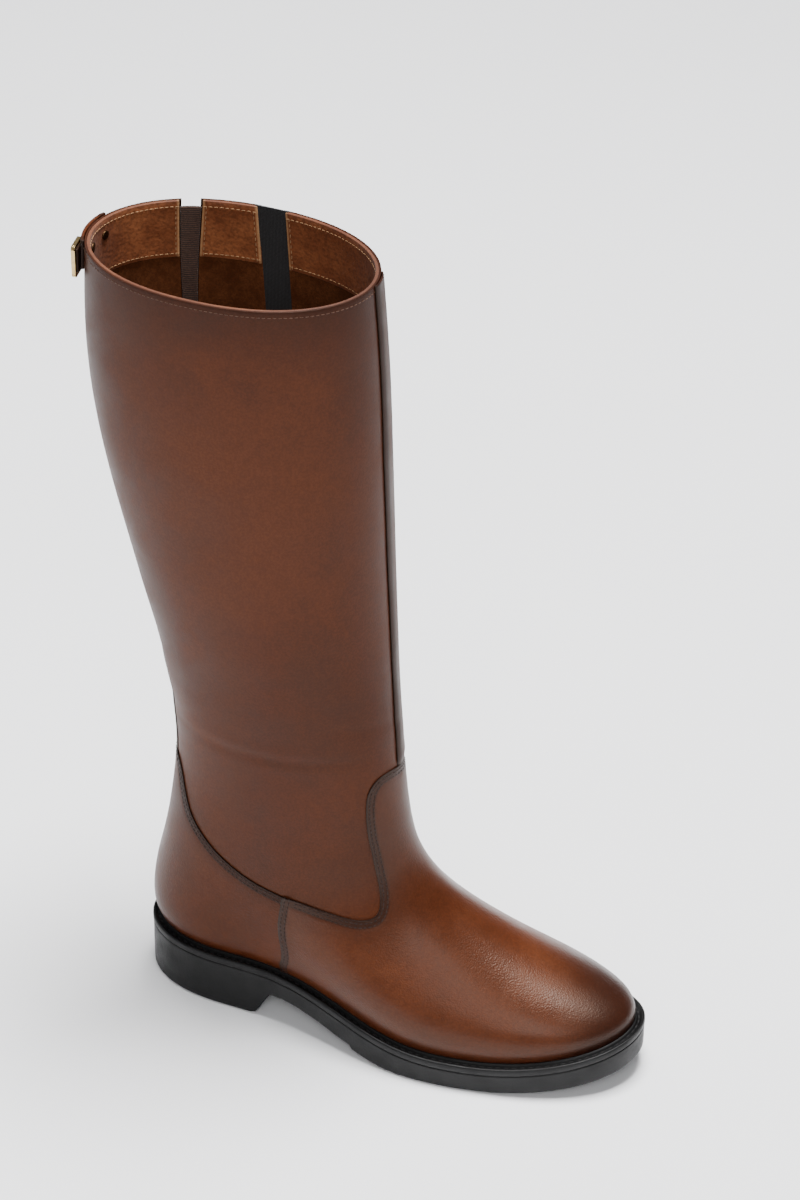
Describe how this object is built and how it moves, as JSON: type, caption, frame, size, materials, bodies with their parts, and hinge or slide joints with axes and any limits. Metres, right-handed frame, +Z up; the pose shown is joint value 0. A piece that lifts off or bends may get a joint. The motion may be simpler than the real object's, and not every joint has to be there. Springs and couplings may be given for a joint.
{
  "type": "knee-high boot",
  "caption": "Right knee-high riding boot in brown leather with a full-length inner zip, elastic collar gusset, buckled back strap and black rubber sole.",
  "frame": {"origin": "on the floor under the middle of the heel", "axes": "+Z up the shaft, -Y towards the toe, -X the outer side and +X the inner side of the right foot"},
  "size_m": [0.1041, 0.2989, 0.433],
  "materials": {
    "upper": "burnished smooth leather, satin",
    "lining": "natural leather, matt",
    "elastic": "ribbed elastic, matt",
    "rubber": "satin black rubber",
    "tape": "woven tape, matt",
    "zip_metal": "black gloss",
    "gilt": "polished gilt"
  },
  "bodies": {
    "boot": {"upper": "upper", "welt": "rubber", "outsole": "rubber", "insole": "lining", "zip_tape": "tape", "zip_teeth": "zip_metal", "zip_slider": "zip_metal", "gusset": "elastic", "back_strap": "upper", "buckle_frame": "gilt", "buckle_prong": "gilt"},
    "pull": {"zip_pull": "zip_metal"}
  },
  "joints": [
    {"name": "pull_swing", "type": "hinge", "parent": "boot", "child": "pull", "pos_m": [0.0527, -0.018, 0.41782], "axis": [0, -1, 0], "range_deg": [0, 170]}
  ]
}
